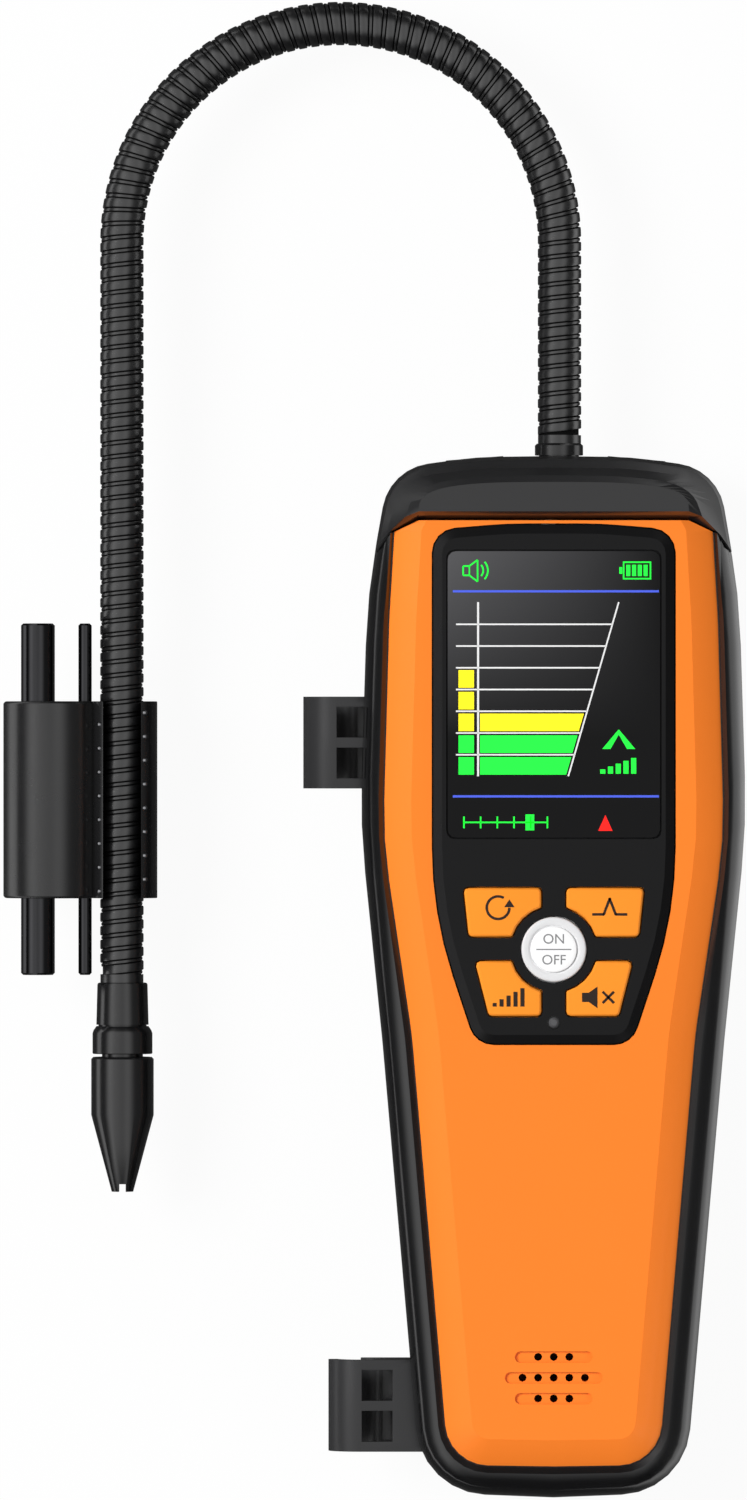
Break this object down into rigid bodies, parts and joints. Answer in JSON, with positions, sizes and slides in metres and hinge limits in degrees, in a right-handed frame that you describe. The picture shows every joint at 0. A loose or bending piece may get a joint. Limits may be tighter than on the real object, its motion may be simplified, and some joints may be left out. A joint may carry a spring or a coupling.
{
  "type": "refrigerant leak detector",
  "caption": "Handheld refrigerant leak detector with a colour display, soft keys, a bent gooseneck with a sensing nozzle, a rod clip on it and side hooks that stow it.",
  "frame": {"origin": "middle of the housing's flat back face, on the surface it lies on", "axes": "+X to the right seen from the front, +Y along the body towards the gooseneck, +Z out of the front"},
  "size_m": [0.1445, 0.2915, 0.0358],
  "materials": {
    "orange_housing": "satin moulded",
    "black_housing": "soft-touch moulded",
    "hood_plastic": "satin moulded",
    "gloss_panel": "polished",
    "window": "polished",
    "display": "plain",
    "circuit_board": "solder mask",
    "white_button": "satin",
    "orange_key": "matt",
    "led_lens": "polished",
    "battery_wrap": "shrink film",
    "cell_metal": "machined",
    "pump_plastic": "moulded",
    "bright_steel": "plated",
    "clear_tube": "soft tube",
    "gooseneck_black": "black coated",
    "probe_plastic": "satin moulded",
    "black_rubber": "matt",
    "filter_felt": "felt",
    "clip_plastic": "satin moulded",
    "polished_rod": "polished"
  },
  "bodies": {
    "housing": {"battery_pack": "battery_wrap", "case_screw_lower_left": "bright_steel", "case_screw_lower_right": "bright_steel", "case_screw_middle_left": "bright_steel", "case_screw_middle_right": "bright_steel", "case_screw_upper_left": "bright_steel", "case_screw_upper_right": "bright_steel", "charge_socket": "bright_steel", "display_module": "display", "display_window": "window", "earphone_socket": "bright_steel", "front_cover": "orange_housing", "gland_nut": "bright_steel", "gooseneck": "gooseneck_black", "infrared_cell": "cell_metal", "keypad_panel": "gloss_panel", "lower_neck_hook": "clip_plastic", "main_board": "circuit_board", "mute_switch": "bright_steel", "neck_gland": "probe_plastic", "peak_switch": "bright_steel", "power_switch": "bright_steel", "probe_ferrule": "probe_plastic", "probe_head": "probe_plastic", "pump_head": "pump_plastic", "pump_motor": "bright_steel", "rear_case": "black_housing", "reset_switch": "bright_steel", "sensitivity_switch": "bright_steel", "speaker": "bright_steel", "status_led": "led_lens", "suction_tube": "clear_tube", "top_hood": "hood_plastic", "transfer_tube": "clear_tube", "upper_neck_hook": "clip_plastic"},
    "reset_key": {"reset_key": "orange_key"},
    "peak_key": {"peak_key": "orange_key"},
    "sensitivity_key": {"sensitivity_key": "orange_key"},
    "mute_key": {"mute_key": "orange_key"},
    "power_button": {"power_button": "white_button"},
    "charge_cover": {"charge_port_cover": "black_rubber"},
    "earphone_cover": {"earphone_port_cover": "black_rubber"},
    "probe_clip": {"probe_clip": "clip_plastic", "thick_rod": "polished_rod", "thin_rod": "polished_rod"},
    "probe_tip": {"probe_tip": "probe_plastic", "tip_filter": "filter_felt", "tip_o_ring": "black_rubber"}
  },
  "joints": [
    {"name": "reset_key_press", "type": "slide", "parent": "housing", "child": "reset_key", "axis": [0, 0, -1], "range_m": [0, 0.0006], "stiffness_N_per_m": 1500, "springref_m": -0.0002},
    {"name": "peak_key_press", "type": "slide", "parent": "housing", "child": "peak_key", "axis": [0, 0, -1], "range_m": [0, 0.0006], "stiffness_N_per_m": 1500, "springref_m": -0.0002},
    {"name": "sensitivity_key_press", "type": "slide", "parent": "housing", "child": "sensitivity_key", "axis": [0, 0, -1], "range_m": [0, 0.0006], "stiffness_N_per_m": 1500, "springref_m": -0.0002},
    {"name": "mute_key_press", "type": "slide", "parent": "housing", "child": "mute_key", "axis": [0, 0, -1], "range_m": [0, 0.0006], "stiffness_N_per_m": 1500, "springref_m": -0.0002},
    {"name": "power_button_press", "type": "slide", "parent": "housing", "child": "power_button", "axis": [0, 0, -1], "range_m": [0, 0.0006], "stiffness_N_per_m": 1500, "springref_m": -0.0002},
    {"name": "charge_cover_hinge", "type": "hinge", "parent": "housing", "child": "charge_cover", "pos_m": [0.0219, 0.1008, 0.0175], "axis": [0, 0, -1], "range_deg": [0, 110]},
    {"name": "earphone_cover_hinge", "type": "hinge", "parent": "housing", "child": "earphone_cover", "pos_m": [-0.0209, 0.10094, 0.0175], "axis": [0, 0, 1], "range_deg": [0, 110]},
    {"name": "probe_clip_slide", "type": "slide", "parent": "housing", "child": "probe_clip", "axis": [0, 1, 0], "range_m": [-0.008, 0.07]},
    {"name": "probe_tip_turn", "type": "hinge", "parent": "housing", "child": "probe_tip", "pos_m": [-0.084, -0.02, 0.017], "axis": [0, -1, 0], "range_deg": [0, 720]}
  ]
}
